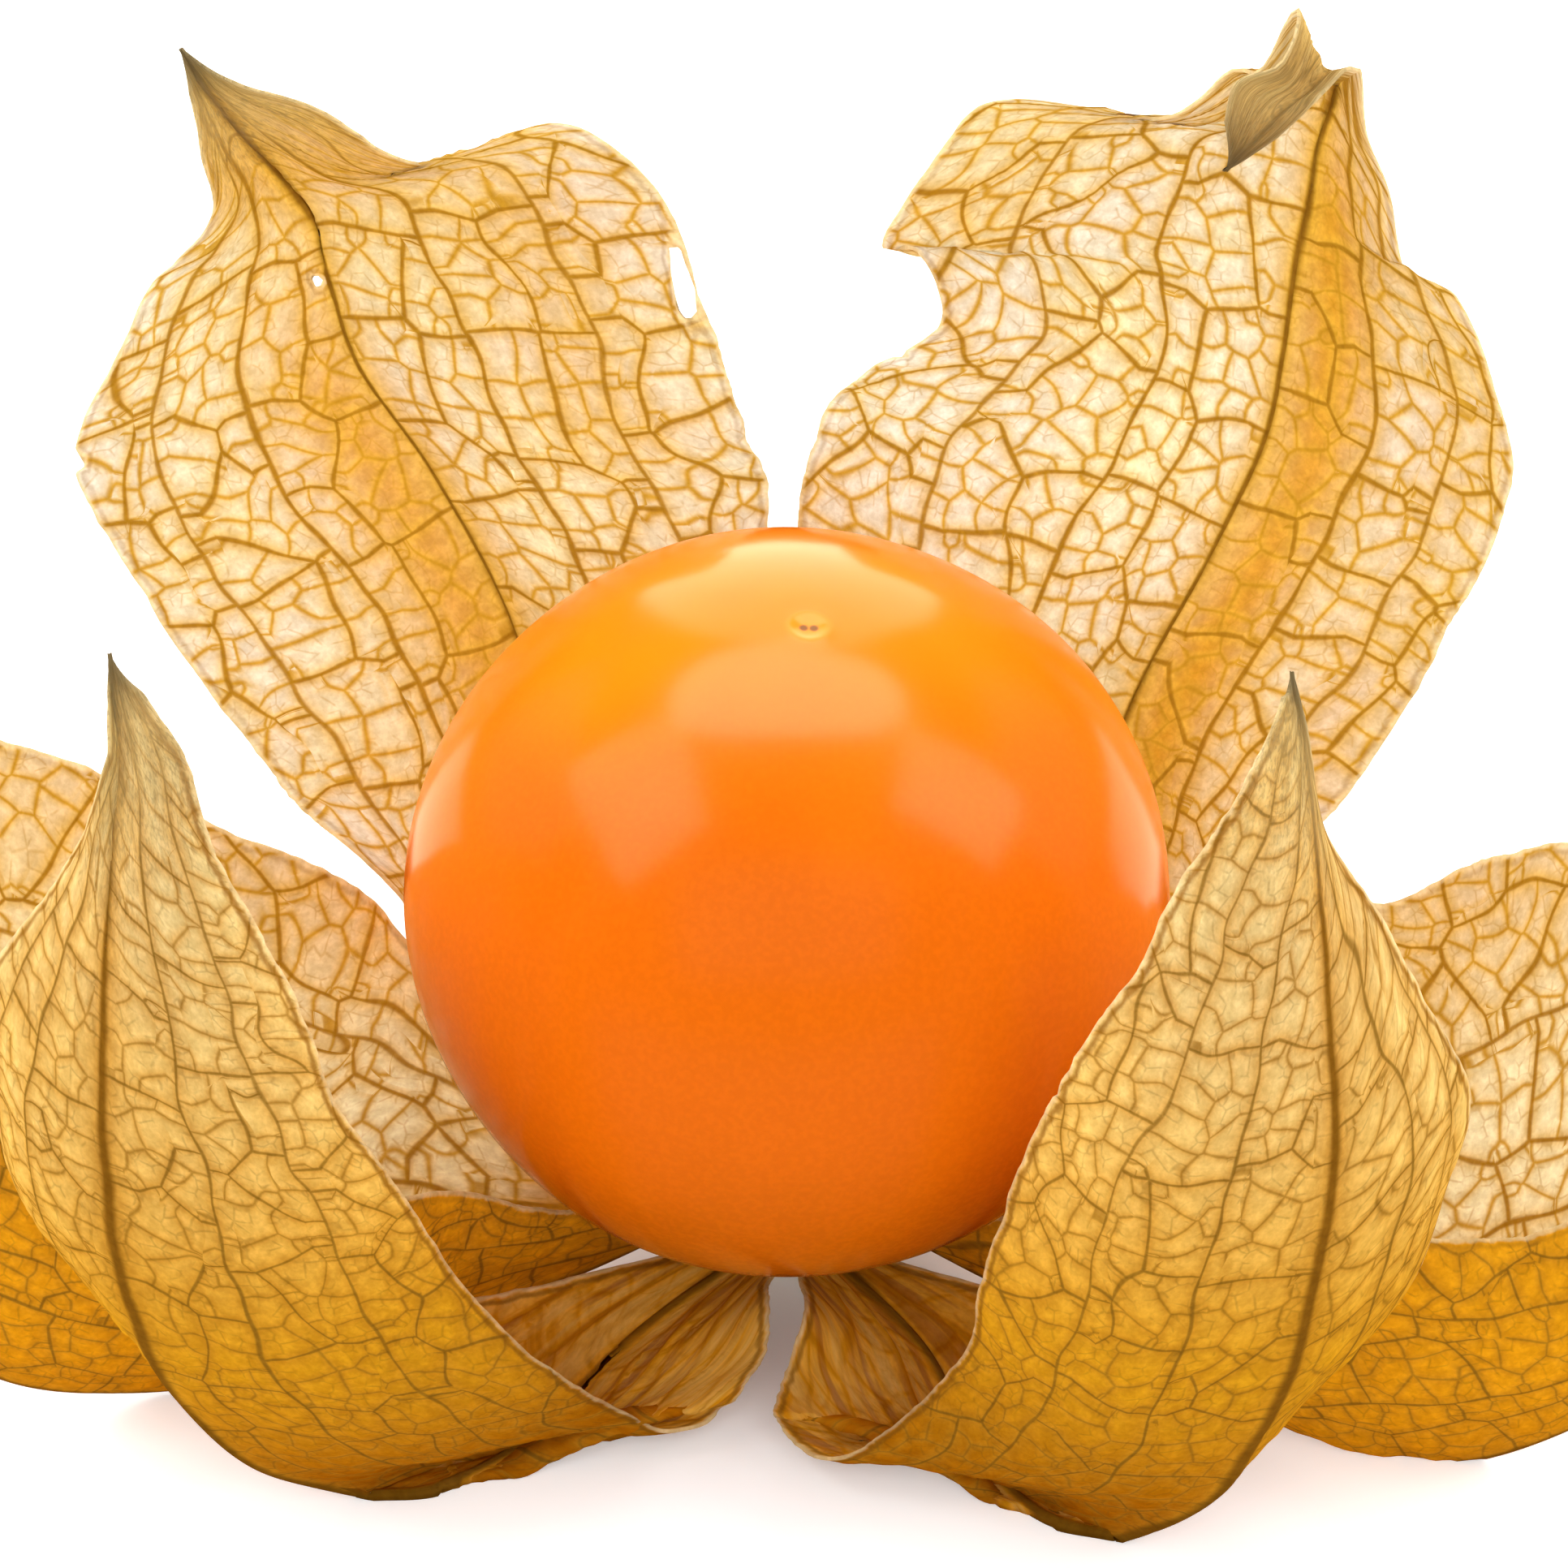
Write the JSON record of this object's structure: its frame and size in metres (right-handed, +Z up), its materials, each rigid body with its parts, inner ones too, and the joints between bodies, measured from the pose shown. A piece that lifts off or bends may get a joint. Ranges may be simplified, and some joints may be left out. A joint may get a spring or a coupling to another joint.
{
  "type": "physalis berry",
  "caption": "Ripe round berry sitting in its dry papery husk, which has split into veined lobes that stand round it like petals.",
  "frame": {"origin": "middle of the footprint, on the surface that the lobes rest on", "axes": "+Z up through the top of the berry, +Y towards the two lobes that lean back, -Y towards the two that stand in front, +X to the right seen from the front"},
  "size_m": [0.056, 0.0336, 0.028],
  "materials": {
    "skin": "gloss",
    "husk": "matte",
    "stalk": "matte"
  },
  "bodies": {
    "root": {"berry": "skin", "calyx_base": "stalk", "husk_lobe_back_left": "husk", "husk_lobe_back_right": "husk", "husk_lobe_left": "husk", "husk_lobe_right": "husk", "husk_lobe_front_left": "husk", "husk_lobe_front_right": "husk"}
  },
  "joints": []
}
